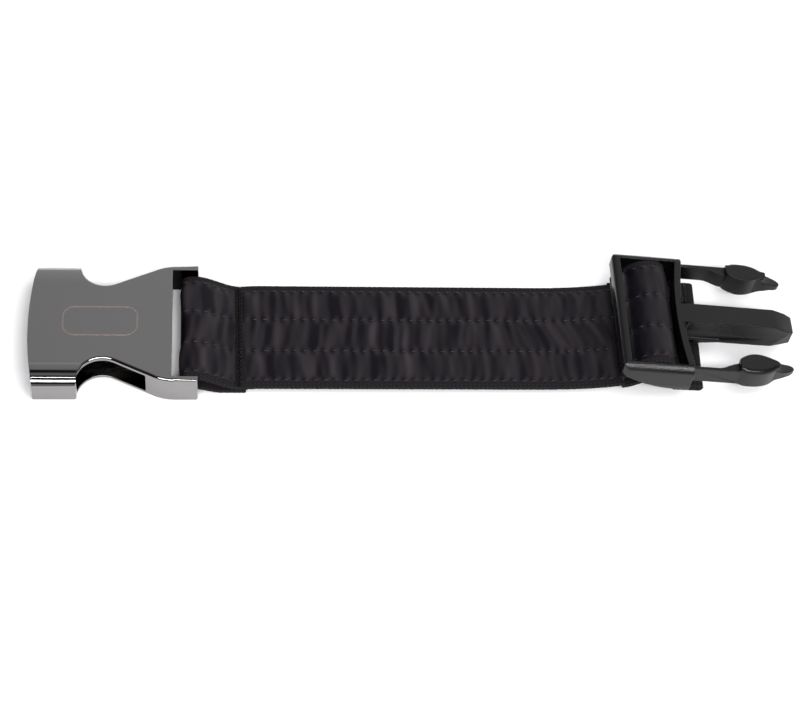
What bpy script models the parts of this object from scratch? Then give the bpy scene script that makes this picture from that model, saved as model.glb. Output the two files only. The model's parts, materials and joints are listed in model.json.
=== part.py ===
"""Luggage strap: a die-cast socket on one end of a stitched strap, a moulded plug that slides on the other.

The strap lies along X. The socket is at -X with its mouth open to -X, and the plug points to +X.
Everything is in metres, +Z is up, and the strap's underside rests on Z = 0.
"""
import math

import bmesh
import bpy
from mathutils import Matrix, Vector

MM = 0.001

# Fits
GAP = 0.3 * MM                 # clearance between pieces that touch
SIDE_PLAY = 0.65 * MM          # between the strap's edge and the piece that guides it

# Strap
WEB_WIDTH = 50.0 * MM
WEB_THICK = 1.4 * MM
SATIN_THICK = 0.3 * MM
SATIN_MARGIN = 2.4 * MM        # bare webbing outside the satin
ROW_MARGIN = 0.9 * MM          # from the satin's edge to the outer stitch row
ROW_INNER = 7.6 * MM           # the two inner stitch rows, from the middle
THREAD_WIDTH = 0.5 * MM
THREAD_THICK = 0.25 * MM
BAR_TO_SHOULDER = 192.05 * MM  # loop bar to the plug's shoulder: the strap's set length
BAR_TO_SEAM = 16.6 * MM
SEAM_LENGTH = 2.7 * MM
SEAM_TO_FOLD_END = 1.8 * MM    # the folded end shows this far past the seam
TAIL_PAST_SHOULDER = 7.0 * MM
TAIL_LENGTH = 13.0 * MM
HEM_INSET = 3.2 * MM           # hem seam, from the tail's folded end

# Socket
SHELL_HEIGHT = 12.0 * MM
SHELL_WALL = 1.2 * MM
MOUTH_TO_BAR = 61.25 * MM
MOUTH_BULGE = 2.5 * MM
BLOCK_SIDE = 2.35 * MM         # side wall beside the mouth
EAR_WALL = 1.6 * MM
SHOULDER_RADIUS = 3.4 * MM     # rounding along the top of the sides
NOTCH_DEPTH = 10.5 * MM
NOTCH_RADIUS = 9.6 * MM
NOTCH_SLOPE = math.radians(27.2)
NOTCH_START = 18.9 * MM        # from the middle of the mouth to the notch
EAR_ARC_RADIUS = 18.0 * MM
BAR_RADIUS = 1.6 * MM
EAR_SKIN = 0.6 * MM            # left over the bar's ends, so the ears stay plain outside
PLATE_TO_BAR = 6.9 * MM
EAR_PAST_BAR = 2.9 * MM
BACK_WALL = 2.8 * MM
CAVITY_NARROW = 1.1 * MM       # the cavity steps in behind the notches
GUIDE_WALL = 1.2 * MM
GUIDE_BACK = 1.9 * MM

# Plug, in its own frame: U towards the tip, V across, W up from the top face
PLUG_LIFT = 6.53 * MM          # the rails' underside at the shoulder, above the table
PLUG_SIDE = 1.85 * MM          # how far the plug lies to the far side of the strap
PLUG_PITCH = math.radians(4.34)
PLUG_YAW = math.radians(-1.36)
RAIL_THICK = 2.95 * MM
RAIL_INSET = 0.6 * MM          # the rails are this much lower than the socket
FRAME_LENGTH = 28.0 * MM
END_BAR = 3.3 * MM
END_BAR_HEIGHT = 5.0 * MM
SHOULDER_BAR = 2.7 * MM
SHOULDER_BAR_HEIGHT = 8.0 * MM
SHOULDER_BOW = 1.6 * MM        # the shoulder bar bows into the window
FRAME_CORNER = 2.5 * MM
MIDDLE_BAR_U = -12.8 * MM
MIDDLE_BAR_DROP = 4.1 * MM
MIDDLE_BAR_RADIUS = 3.0 * MM
TONGUE_LENGTH = 42.6 * MM
TONGUE_TOP = 9.2 * MM          # width of the top face
TONGUE_FOOT = 12.4 * MM        # width at the foot
TIP_LENGTH = 8.1 * MM
TIP_DROP = 3.0 * MM
TIP_NARROW = 1.2 * MM
ARM_INSET = 0.25 * MM          # outer face of the arms, in from the rails' inner faces
ARM_THICK = 1.5 * MM
ARM_TOP = 2.8 * MM             # the arms' top, below the top face
ARM_BOTTOM = 10.2 * MM
HEAD_START = 18.4 * MM
HEAD_TOP = 0.7 * MM
HEAD_BOTTOM = 10.0 * MM
NOSE_TOP = 4.8 * MM
NOSE_BOTTOM = 7.2 * MM

# Worked out from the sizes above
HALF_WEB = WEB_WIDTH / 2
FABRIC = WEB_THICK + SATIN_THICK
SLOT_HALF = HALF_WEB + SIDE_PLAY + 0.05 * MM
EAR_OUTER = SLOT_HALF + EAR_WALL
BLOCK_OUTER = EAR_OUTER + 0.7 * MM
CAVITY_HALF = BLOCK_OUTER - BLOCK_SIDE
WINDOW_HALF = HALF_WEB + SIDE_PLAY
FRAME_HALF = WINDOW_HALF + RAIL_THICK
ARM_OUTER = WINDOW_HALF - ARM_INSET
TONGUE_HEIGHT = SHELL_HEIGHT - 2 * SHELL_WALL - GAP
RAIL_HEIGHT = SHELL_HEIGHT - RAIL_INSET
PLUG_HEIGHT = RAIL_HEIGHT + PLUG_LIFT      # the top face at the shoulder, above the table
PLUG_REACH = TONGUE_LENGTH * math.cos(PLUG_PITCH) * math.cos(PLUG_YAW)
MOUTH_X = -(MOUTH_TO_BAR + BAR_TO_SHOULDER + PLUG_REACH) / 2
BAR_X = MOUTH_X + MOUTH_TO_BAR
BAR_Z = SHELL_HEIGHT / 2
PLATE_END_X = BAR_X - PLATE_TO_BAR
SEAM_X = BAR_X + BAR_TO_SEAM
FOLD_END_X = SEAM_X + SEAM_LENGTH + SEAM_TO_FOLD_END
SHOULDER_X = BAR_X + BAR_TO_SHOULDER
LINE_Y = -(PLUG_SIDE + FRAME_HALF + 0.3 * MM - BLOCK_OUTER) / 2
MAIN_Z = FABRIC + GAP          # underside of the main run, above the folded end
THREAD_Z = MAIN_Z + FABRIC + 2 * GAP
TAIL_START_X = SHOULDER_X + TAIL_PAST_SHOULDER - TAIL_LENGTH
LEAN_START_X = SHOULDER_X - FRAME_LENGTH - 30.0 * MM


def clear_scene():
    for item in list(bpy.data.objects):
        bpy.data.objects.remove(item, do_unlink=True)


def collection(name):
    made = bpy.data.collections.new(name)
    bpy.context.scene.collection.children.link(made)
    return made


def material(name, colour, roughness, metallic):
    made = bpy.data.materials.new(name)
    made.use_nodes = True
    shader = made.node_tree.nodes["Principled BSDF"]
    shader.inputs["Base Color"].default_value = (*colour, 1.0)
    shader.inputs["Roughness"].default_value = roughness
    shader.inputs["Metallic"].default_value = metallic
    return made


clear_scene()
PARTS = collection("luggage_strap")
CUTTERS = collection("cutters")
GUNMETAL = material("gunmetal", (0.16, 0.155, 0.155), 0.12, 1.0)
STEEL = material("bar_steel", (0.35, 0.35, 0.36), 0.3, 1.0)
ACETAL = material("black_acetal", (0.02, 0.02, 0.022), 0.45, 0.0)
WEBBING = material("black_webbing", (0.02, 0.019, 0.022), 0.85, 0.0)
SATIN = material("black_satin", (0.03, 0.028, 0.033), 0.4, 0.0)
THREAD = material("black_thread", (0.03, 0.03, 0.03), 0.6, 0.0)


def arc(centre_x, centre_y, radius, start, end, steps):
    """Points on an arc, angles in degrees."""
    points = []
    for step in range(steps + 1):
        angle = math.radians(start + (end - start) * step / steps)
        points.append((centre_x + radius * math.cos(angle), centre_y + radius * math.sin(angle)))
    return points


def smooth_path(points, steps):
    """A Catmull-Rom curve through the points."""
    ends = [points[0]] + list(points) + [points[-1]]
    path = []
    for index in range(1, len(ends) - 2):
        before, start, end, after = (Vector(ends[index + shift]) for shift in (-1, 0, 1, 2))
        for step in range(steps):
            t = step / steps
            path.append(0.5 * (2 * start + (end - before) * t
                               + (2 * before - 5 * start + 4 * end - after) * t ** 2
                               + (3 * start - before - 3 * end + after) * t ** 3))
    path.append(Vector(points[-1]))
    return [(point.x, point.y) for point in path]


def ribbon(path, thickness, offset=0.0):
    """The closed outline of a strip of even thickness along a path, moved sideways by offset."""
    left = []
    right = []
    for index, point in enumerate(path):
        before = Vector(path[max(index - 1, 0)])
        after = Vector(path[min(index + 1, len(path) - 1)])
        along = (after - before).normalized()
        normal = Vector((-along.y, along.x))
        left.append(Vector(point) + normal * (offset + thickness / 2))
        right.append(Vector(point) + normal * (offset - thickness / 2))
    return [(point.x, point.y) for point in left + right[::-1]]


def slab(name, outline, low, high, turn=None, target=None):
    """A flat outline with thickness, from low to high along its normal, made a mesh."""
    flat = bpy.data.curves.new(name, "CURVE")
    flat.dimensions = "2D"
    flat.fill_mode = "BOTH"
    flat.extrude = (high - low) / 2
    spline = flat.splines.new("POLY")
    spline.points.add(len(outline) - 1)
    for point, place in zip(spline.points, outline):
        point.co = (place[0], place[1], 0.0, 1.0)
    spline.use_cyclic_u = True
    drawn = bpy.data.objects.new(name, flat)
    (target or PARTS).objects.link(drawn)
    drawn.matrix_world = (turn or Matrix()) @ Matrix.Translation((0, 0, (low + high) / 2))
    bpy.context.view_layer.update()
    mesh = bpy.data.meshes.new_from_object(drawn.evaluated_get(bpy.context.evaluated_depsgraph_get()))
    solid = bmesh.new()
    solid.from_mesh(mesh)
    bmesh.ops.remove_doubles(solid, verts=solid.verts, dist=0.00001)
    bmesh.ops.transform(solid, matrix=drawn.matrix_world, verts=solid.verts)
    bmesh.ops.recalc_face_normals(solid, faces=solid.faces)
    solid.to_mesh(mesh)
    solid.free()
    bpy.data.objects.remove(drawn, do_unlink=True)
    bpy.data.curves.remove(flat)
    made = bpy.data.objects.new(name, mesh)
    (target or PARTS).objects.link(made)
    return made


# Turns that stand an outline up: its X stays or becomes Y, and its Y becomes Z
SIDE_VIEW = Matrix.Rotation(math.radians(90), 4, "X")
END_VIEW = Matrix.Rotation(math.radians(90), 4, "Z") @ SIDE_VIEW


def block(name, low, high, target=None):
    """A box between two corners, started as a primitive cube."""
    mesh = bpy.data.meshes.new(name)
    solid = bmesh.new()
    bmesh.ops.create_cube(solid, size=1.0)
    size = Vector(high) - Vector(low)
    place = Matrix.Translation((Vector(high) + Vector(low)) / 2) @ Matrix.Diagonal((*size, 1.0))
    bmesh.ops.transform(solid, matrix=place, verts=solid.verts)
    solid.to_mesh(mesh)
    solid.free()
    made = bpy.data.objects.new(name, mesh)
    (target or PARTS).objects.link(made)
    return made


def rod(name, radius, half_length, place, target=None, sides=32):
    """A round bar along Y."""
    mesh = bpy.data.meshes.new(name)
    solid = bmesh.new()
    bmesh.ops.create_cone(solid, cap_ends=True, segments=sides, radius1=radius, radius2=radius,
                          depth=2 * half_length)
    turn = Matrix.Translation(place) @ Matrix.Rotation(math.radians(90), 4, "X")
    bmesh.ops.transform(solid, matrix=turn, verts=solid.verts)
    solid.to_mesh(mesh)
    solid.free()
    made = bpy.data.objects.new(name, mesh)
    (target or PARTS).objects.link(made)
    return made


def combine(piece, tool, operation):
    """Cut, join or intersect, with the tool kept as a hidden cutter."""
    tool.hide_render = True
    tool.display_type = "WIRE"
    step = piece.modifiers.new(operation.lower(), "BOOLEAN")
    step.operation = operation
    step.solver = "EXACT"
    step.object = tool
    return step


def cut(piece, *tools):
    for tool in tools:
        combine(piece, tool, "DIFFERENCE")


def join(piece, *tools):
    for tool in tools:
        combine(piece, tool, "UNION")


def finish(piece, finish_material, sharp=35.0):
    """Material and smooth shading with sharp edges kept."""
    piece.data.materials.clear()
    piece.data.materials.append(finish_material)
    piece.data.shade_smooth()
    piece.data.set_sharp_from_angle(angle=math.radians(sharp))
    return piece


def rest_on_line(*pieces):
    """Moves pieces built on the XZ plane to the strap's own centre line."""
    for piece in pieces:
        piece.location.y = LINE_Y


# ---------------------------------------------------------------- socket

def socket_side():
    """The far side of the socket's outline, from the mouth's corner to the end of the ear."""
    corner_x = MOUTH_X + MOUTH_BULGE
    notch_floor = BLOCK_OUTER - NOTCH_DEPTH
    centre_x = MOUTH_X + NOTCH_START + NOTCH_RADIUS
    centre_y = notch_floor + NOTCH_RADIUS
    leave = math.degrees(NOTCH_SLOPE) - 90
    notch_x = centre_x - NOTCH_RADIUS
    points = [(corner_x, BLOCK_OUTER), (corner_x, BLOCK_OUTER + MM), (notch_x - 0.9 * MM, BLOCK_OUTER + MM),
              (notch_x - 0.9 * MM, BLOCK_OUTER - 0.05 * MM), (notch_x - 0.2 * MM, BLOCK_OUTER - 0.4 * MM)]
    points += arc(centre_x, centre_y, NOTCH_RADIUS, 184, 360 + leave, 12)
    slope_end = points[-1]
    turn = math.degrees(NOTCH_SLOPE)
    drop = EAR_ARC_RADIUS * (1 - math.cos(NOTCH_SLOPE))
    rise = EAR_OUTER - drop - slope_end[1]
    top_x = slope_end[0] + rise / math.tan(NOTCH_SLOPE) + EAR_ARC_RADIUS * math.sin(NOTCH_SLOPE)
    points += arc(top_x, EAR_OUTER - EAR_ARC_RADIUS, EAR_ARC_RADIUS, 90 + turn, 90, 6)
    points += [(BAR_X + EAR_PAST_BAR - 1.0 * MM, EAR_OUTER), (BAR_X + EAR_PAST_BAR, EAR_OUTER - 0.6 * MM)]
    return points


def mouth_curve():
    """The mouth's convex front edge, from the near corner to the far one, corners left out."""
    radius = (BLOCK_OUTER ** 2 + MOUTH_BULGE ** 2) / (2 * MOUTH_BULGE)
    spread = math.degrees(math.asin(BLOCK_OUTER / radius))
    return arc(MOUTH_X + radius, 0.0, radius, 180 + spread, 180 - spread, 10)[1:-1]


def make_socket_shell():
    """Die-cast housing: two plates joined at the sides, open at the mouth and at both finger notches."""
    side = socket_side()
    near = [(x, -y) for x, y in reversed(side)]
    outline = near + mouth_curve() + side
    shell = slab("socket_shell", outline, 0.0, SHELL_HEIGHT + MM)
    bend = SHOULDER_RADIUS
    section = arc(BLOCK_OUTER - bend, SHELL_HEIGHT - bend, bend, 0, 90, 6)
    section += arc(bend - BLOCK_OUTER, SHELL_HEIGHT - bend, bend, 90, 180, 6)
    section += [(-BLOCK_OUTER, -MM), (BLOCK_OUTER, -MM)]
    combine(shell, slab("shell_section", section, MOUTH_X - MM, BAR_X + 2 * EAR_PAST_BAR, END_VIEW, CUTTERS),
            "INTERSECT")
    step_x = MOUTH_X + NOTCH_START + NOTCH_RADIUS
    back = CAVITY_HALF - CAVITY_NARROW
    cavity = [(MOUTH_X - MM, -CAVITY_HALF), (step_x, -CAVITY_HALF), (step_x, -back), (PLATE_END_X - BACK_WALL, -back),
              (PLATE_END_X - BACK_WALL, back), (step_x, back), (step_x, CAVITY_HALF), (MOUTH_X - MM, CAVITY_HALF)]
    cut(shell,
        slab("shell_cavity", cavity, SHELL_WALL, SHELL_HEIGHT - SHELL_WALL, None, CUTTERS),
        block("shell_slot", (PLATE_END_X, -SLOT_HALF, -MM),
              (BAR_X + 2 * EAR_PAST_BAR, SLOT_HALF, SHELL_HEIGHT + MM), CUTTERS),
        rod("shell_bar_hole", BAR_RADIUS + GAP, EAR_OUTER - EAR_SKIN, (BAR_X, 0, BAR_Z), CUTTERS))
    return finish(shell, GUNMETAL)


def make_guide_insert():
    """Moulded liner inside the socket: two ribs that guide the plug's tongue, and a back stop."""
    low = SHELL_WALL + GAP
    high = SHELL_HEIGHT - SHELL_WALL - GAP
    back_end = PLATE_END_X - BACK_WALL - GAP
    back_start = back_end - GUIDE_BACK
    channel = TONGUE_FOOT / 2 + 2 * GAP
    start = MOUTH_X + MOUTH_BULGE + 2.0 * MM
    lead = 2.0 * MM
    outline = [(back_end, channel + GUIDE_WALL), (start, channel + GUIDE_WALL), (start, channel + GUIDE_WALL / 2),
               (start + lead, channel), (back_start, channel)]
    outline += [(x, -y) for x, y in reversed(outline)]
    return finish(slab("guide_insert", outline, low, high), ACETAL)


def make_loop_bar():
    """Steel bar held in a blind bore in each ear, which carries the strap's loop."""
    return finish(rod("loop_bar", BAR_RADIUS, EAR_OUTER - EAR_SKIN - GAP, (BAR_X, 0, BAR_Z)), STEEL)


# ---------------------------------------------------------------- strap

def ease(x, start, end):
    """0 before start, 1 after end, smooth between."""
    t = min(max((x - start) / (end - start), 0.0), 1.0)
    return t * t * (3 - 2 * t)


def level_strip(name, start_x, middle, width, low, high):
    """A flat strip along the main run, which leans sideways at its end to where the plug lies."""
    steps = 10
    end_x = TAIL_START_X - GAP
    path = [(start_x, middle)]
    for step in range(steps + 1):
        x = LEAN_START_X + (end_x - LEAN_START_X) * step / steps
        path.append((x, middle + PLUG_SIDE * ease(x, LEAN_START_X, SHOULDER_X - FRAME_LENGTH / 2)))
    return slab(name, ribbon(path, width), low, high)


def make_strap_loop():
    """The strap's end round the bar: down from the bar to the seam above, and back under the run."""
    radius = BAR_RADIUS + GAP + FABRIC / 2
    end_x = SEAM_X - GAP
    top_z = MAIN_Z + FABRIC / 2 + GAP / 2
    start_x = BAR_X + 2.0 * MM
    steps = 10
    upper = []
    for step in range(steps + 1):
        x = end_x + (start_x - end_x) * step / steps
        upper.append((x, top_z + (BAR_Z + radius - top_z) * (1 - ease(x, start_x, end_x))))
    around = arc(BAR_X, BAR_Z, radius, 90, 270, 16)
    lower = []
    for step in range(steps + 1):
        x = start_x + (FOLD_END_X - start_x) * step / steps
        drop_end = start_x + (FOLD_END_X - start_x) * 0.4
        lower.append((x, FABRIC / 2 + (BAR_Z - radius - FABRIC / 2) * (1 - ease(x, start_x, drop_end))))
    outline = ribbon(upper + around + lower, FABRIC)
    return finish(slab("strap_loop", outline, -HALF_WEB, HALF_WEB, SIDE_VIEW), WEBBING, 60)


def make_main_run():
    """Webbing of the main run, from the cross seam to the folded tail."""
    return finish(level_strip("strap_run", SEAM_X, 0.0, WEB_WIDTH, MAIN_Z, MAIN_Z + WEB_THICK), WEBBING)


def make_satin_face():
    """Satin panel sewn along the upper face, a little narrower than the webbing."""
    low = MAIN_Z + WEB_THICK + GAP
    width = WEB_WIDTH - 2 * SATIN_MARGIN
    return finish(level_strip("satin_face", SEAM_X, 0.0, width, low, low + SATIN_THICK), SATIN)


def make_stitch_rows():
    """Four lengthwise rows of lockstitch, each one continuous thread."""
    outer = HALF_WEB - SATIN_MARGIN - ROW_MARGIN
    rows = []
    start = SEAM_X + SEAM_LENGTH + GAP
    for number, place in enumerate((outer, ROW_INNER, -ROW_INNER, -outer), 1):
        row = level_strip(f"stitch_row_{number}", start, place, THREAD_WIDTH, THREAD_Z, THREAD_Z + THREAD_THICK)
        rows.append(finish(row, THREAD))
    return rows


def make_cross_seam():
    """Dense cross seam that closes the loop."""
    low = (SEAM_X, -HALF_WEB + SATIN_MARGIN, THREAD_Z)
    high = (SEAM_X + SEAM_LENGTH, HALF_WEB - SATIN_MARGIN, THREAD_Z + THREAD_THICK)
    return finish(block("cross_seam", low, high), THREAD)


def make_strap_tail():
    """The strap's free end past the plug, folded under itself."""
    end_x = SHOULDER_X + TAIL_PAST_SHOULDER
    radius = (FABRIC + GAP) / 2
    start_x = TAIL_START_X
    fold_x = end_x - radius - FABRIC / 2
    path = [(start_x, FABRIC * 1.5 + GAP)]
    path += arc(fold_x, FABRIC + GAP / 2, radius, 90, -90, 8)
    path += [(start_x + 1.0 * MM, FABRIC / 2)]
    tail = slab("strap_tail", ribbon(path, FABRIC), -HALF_WEB, HALF_WEB, SIDE_VIEW)
    return finish(tail, WEBBING, 60)


def make_hem_seam():
    """Seam that holds the tail's fold."""
    x = SHOULDER_X + TAIL_PAST_SHOULDER - HEM_INSET
    z = 2 * (FABRIC + GAP)
    low = (x - THREAD_WIDTH, -HALF_WEB + SATIN_MARGIN, z)
    high = (x + THREAD_WIDTH, HALF_WEB - SATIN_MARGIN, z + THREAD_THICK)
    return finish(block("hem_seam", low, high), THREAD)


# ---------------------------------------------------------------- plug

def make_plug_pose():
    """Frame of the plug: at its shoulder, on the top face, tilted down towards the tip."""
    pose = bpy.data.objects.new("plug_pose", None)
    PARTS.objects.link(pose)
    pose.location = (SHOULDER_X, LINE_Y + PLUG_SIDE - FRAME_LENGTH / 2 * math.sin(-PLUG_YAW), PLUG_HEIGHT)
    pose.rotation_euler = (0.0, PLUG_PITCH, PLUG_YAW)
    return pose


def rail_profile():
    """Side view of the frame: shallow at the strap's end, deeper towards the shoulder."""
    shallow = END_BAR_HEIGHT + 0.5 * MM
    bottom = []
    for step in range(9):
        along = step / 8
        depth = shallow + (RAIL_HEIGHT - shallow) * math.sin(along * math.pi / 2)
        bottom.append((-FRAME_LENGTH + FRAME_LENGTH * 0.85 * along, -depth))
    return bottom + [(MM, -RAIL_HEIGHT), (MM, MM), (-FRAME_LENGTH - MM, MM), (-FRAME_LENGTH - MM, -shallow)]


def shoulder_curve(u):
    """The shoulder bar's bowed edge, from the near rail to the far one."""
    steps = 12
    edge = []
    for step in range(steps + 1):
        part = 2 * step / steps - 1
        edge.append((u - SHOULDER_BOW * (1 - part * part), WINDOW_HALF * part))
    return edge


def make_buckle_frame():
    """Moulded frame with its end bar, middle bar, bowed shoulder bar and centre tongue."""
    corner = FRAME_CORNER
    outline = [(0.0, -FRAME_HALF)] + shoulder_curve(0.0) + [(0.0, FRAME_HALF)]
    outline += arc(corner - FRAME_LENGTH, FRAME_HALF - corner, corner, 90, 180, 5)
    outline += arc(corner - FRAME_LENGTH, corner - FRAME_HALF, corner, 180, 270, 5)
    frame = slab("buckle_frame", outline, -RAIL_HEIGHT, 0.0)
    combine(frame, slab("rail_profile", rail_profile(), -FRAME_HALF - MM, FRAME_HALF + MM, SIDE_VIEW, CUTTERS),
            "INTERSECT")
    below = -RAIL_HEIGHT - MM
    window = [(END_BAR - FRAME_LENGTH, -WINDOW_HALF)] + shoulder_curve(-SHOULDER_BAR)
    window.append((END_BAR - FRAME_LENGTH, WINDOW_HALF))
    cut(frame,
        slab("window_cut", window, below, MM, None, CUTTERS),
        block("end_bar_cut", (-FRAME_LENGTH - MM, -WINDOW_HALF, below),
              (END_BAR - FRAME_LENGTH + MM, WINDOW_HALF, -END_BAR_HEIGHT), CUTTERS),
        block("shoulder_bar_cut", (-SHOULDER_BAR - SHOULDER_BOW - MM, -WINDOW_HALF, below),
              (MM, WINDOW_HALF, -SHOULDER_BAR_HEIGHT), CUTTERS))
    join(frame,
         rod("middle_bar", MIDDLE_BAR_RADIUS, WINDOW_HALF + RAIL_THICK / 2,
             (MIDDLE_BAR_U, 0, -MIDDLE_BAR_DROP), CUTTERS),
         make_tongue())
    return finish(frame, ACETAL)


def make_tongue():
    """Centre tongue with a flat top, flared foot and a tip that drops and narrows."""
    top = TONGUE_TOP / 2
    foot = TONGUE_FOOT / 2
    side = [(top, 0.0), (top, -TONGUE_HEIGHT * 0.5), (foot, -TONGUE_HEIGHT * 0.88), (foot, -TONGUE_HEIGHT)]
    section = side + [(-v, w) for v, w in reversed(side)]
    tongue = slab("tongue", section, -SHOULDER_BOW - SHOULDER_BAR / 2, TONGUE_LENGTH, END_VIEW, CUTTERS)
    tip_start = TONGUE_LENGTH - TIP_LENGTH
    over = 5.0 * MM
    reach = over / TIP_LENGTH
    top_wedge = [(tip_start, 0.0), (TONGUE_LENGTH + over, -TIP_DROP * (1 + reach)),
                 (TONGUE_LENGTH + over, over), (tip_start, over)]
    cut(tongue, slab("tip_top_cut", top_wedge, -foot - MM, foot + MM, SIDE_VIEW, CUTTERS))
    for side_name, sign in (("far", 1), ("near", -1)):
        wedge = [(tip_start, sign * foot), (TONGUE_LENGTH + over, sign * (foot - TIP_NARROW * 2 * (1 + reach))),
                 (TONGUE_LENGTH + over, sign * (foot + over)), (tip_start, sign * (foot + over))]
        cut(tongue, slab(f"tip_{side_name}_cut", wedge, -TONGUE_HEIGHT - MM, MM, None, CUTTERS))
    return tongue


def head_outline():
    """The catch head seen from above, far side: square at the back, rounded towards the nose."""
    outer = ARM_OUTER + 0.9 * MM
    back = HEAD_START
    points = [(0.0, -0.8), (4.0, 0.0), (9.3, -0.6), (13.0, -2.2), (14.3, -3.7), (13.3, -5.1),
              (9.6, -7.4), (6.6, -8.4), (4.0, -8.1), (1.6, -7.0), (0.0, -6.0)]
    return [(back + u * MM, outer + v * MM) for u, v in points]


def nose_outline():
    """Thin guiding tab in front of the head, rounded at its end."""
    outer = ARM_OUTER + 0.9 * MM
    back = HEAD_START
    points = [(8.0, -1.5), (15.0, -2.3), (18.6, -3.0), (20.8, -4.0), (21.6, -5.2), (21.0, -6.6),
              (20.0, -7.2), (10.0, -7.2)]
    return [(back + u * MM, outer + v * MM) for u, v in points]


def arm_outline():
    """Thin spring arm that thickens inwards to meet the head."""
    inner = ARM_OUTER - ARM_THICK
    end = HEAD_START + 2.0 * MM
    return [(GAP, ARM_OUTER), (end, ARM_OUTER), (end, inner - 2.6 * MM), (HEAD_START - 7.0 * MM, inner),
            (GAP, inner)]


def make_latch_arm(side_name, sign):
    """Spring arm with its catch head; it turns about the middle of its root."""
    def mirrored(points):
        return [(u, sign * v) for u, v in points]

    arm = slab(f"latch_arm_{side_name}", mirrored(arm_outline()), -ARM_BOTTOM, -ARM_TOP)
    join(arm,
         slab(f"head_{side_name}", mirrored(head_outline()), -HEAD_BOTTOM, -HEAD_TOP, None, CUTTERS),
         slab(f"nose_{side_name}", mirrored(nose_outline()), -NOSE_BOTTOM, -NOSE_TOP, None, CUTTERS))
    return finish(arm, ACETAL)


def arm_pivot(sign):
    return Vector((GAP, sign * (ARM_OUTER - ARM_THICK / 2), 0.0))


def plug_level(u, height):
    """A point of the plug's frame at u, at a height above the table."""
    return (u, (height - PLUG_HEIGHT + u * math.sin(PLUG_PITCH)) / math.cos(PLUG_PITCH))


def make_strap_hump():
    """The strap's climb over the middle bar, between the end bar and the shoulder bar."""
    radius = MIDDLE_BAR_RADIUS + GAP + FABRIC / 2
    u, w = MIDDLE_BAR_U, -MIDDLE_BAR_DROP
    crest = arc(u, w, radius, 160, 20, 4)
    foot = THREAD_Z + THREAD_THICK + GAP + FABRIC / 2
    left = plug_level(u - radius, PLUG_HEIGHT - MIDDLE_BAR_DROP)[0]
    right = u + radius
    climb = [(-16.2, 0.0), (-13.7, 0.0), (-11.2, 0.01), (-8.7, 0.05), (-6.2, 0.15), (-4.2, 0.31),
             (-2.5, 0.52), (-1.1, 0.76)]
    descend = [(0.5, 0.72), (1.1, 0.5), (1.9, 0.3), (3.3, 0.13), (5.4, 0.03), (7.4, 0.0)]
    top = PLUG_HEIGHT - MIDDLE_BAR_DROP + 1.9 * MM - foot
    path = [plug_level(left + step * MM, foot + top * part) for step, part in climb]
    path += crest
    path += [plug_level(right + step * MM, foot + top * part) for step, part in descend]
    hump = slab("strap_hump", ribbon(smooth_path(path, 3), FABRIC), -HALF_WEB, HALF_WEB, SIDE_VIEW)
    return finish(hump, WEBBING, 60)


# ---------------------------------------------------------------- assembly

def carry_cutters(pose, pieces):
    """Cutters move with the pose of the piece that they shape."""
    for piece in pieces:
        for step in piece.modifiers:
            step.object.parent = pose
            carry_cutters(pose, [step.object])


rest_on_line(make_guide_insert(), make_loop_bar())
socket_shell = make_socket_shell()
rest_on_line(socket_shell, *[step.object for step in socket_shell.modifiers])
rest_on_line(make_strap_loop(), make_main_run(), make_satin_face(), make_cross_seam(), *make_stitch_rows())
for tail_piece in (make_strap_tail(), make_hem_seam()):
    tail_piece.location.y = LINE_Y + PLUG_SIDE

plug_pose = make_plug_pose()
plug_pieces = [make_buckle_frame(), make_strap_hump()]
for name, side in (("far", 1), ("near", -1)):
    plug_pieces.append(make_latch_arm(name, side))
for piece in plug_pieces:
    piece.parent = plug_pose
carry_cutters(plug_pose, plug_pieces)
for piece, side in zip(plug_pieces[2:], (1, -1)):
    pivot = arm_pivot(side)
    piece.data.transform(Matrix.Translation(-pivot))
    piece.location = pivot
bpy.context.view_layer.update()
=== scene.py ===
import bisect
import json
import math

import bpy
from mathutils import Matrix, Vector, noise


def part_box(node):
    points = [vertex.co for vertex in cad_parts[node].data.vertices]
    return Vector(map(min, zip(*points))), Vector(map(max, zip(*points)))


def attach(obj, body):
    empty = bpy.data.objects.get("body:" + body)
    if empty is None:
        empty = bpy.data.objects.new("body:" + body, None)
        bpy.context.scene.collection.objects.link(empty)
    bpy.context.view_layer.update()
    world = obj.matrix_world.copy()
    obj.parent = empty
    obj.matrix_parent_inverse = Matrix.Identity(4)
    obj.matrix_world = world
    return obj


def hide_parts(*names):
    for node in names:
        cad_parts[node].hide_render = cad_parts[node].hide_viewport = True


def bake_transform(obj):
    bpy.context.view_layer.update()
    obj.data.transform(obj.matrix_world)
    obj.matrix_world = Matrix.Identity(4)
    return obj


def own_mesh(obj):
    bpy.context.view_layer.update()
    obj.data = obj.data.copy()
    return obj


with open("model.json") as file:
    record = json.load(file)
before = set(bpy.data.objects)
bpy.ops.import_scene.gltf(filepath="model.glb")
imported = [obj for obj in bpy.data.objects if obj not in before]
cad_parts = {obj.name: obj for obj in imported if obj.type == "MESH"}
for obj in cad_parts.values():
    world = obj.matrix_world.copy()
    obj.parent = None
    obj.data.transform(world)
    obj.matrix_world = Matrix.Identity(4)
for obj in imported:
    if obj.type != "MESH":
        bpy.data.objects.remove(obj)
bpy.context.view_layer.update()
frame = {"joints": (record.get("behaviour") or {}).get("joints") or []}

MM = 0.001                     # sizes below are in millimetres and meshes in metres


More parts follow.
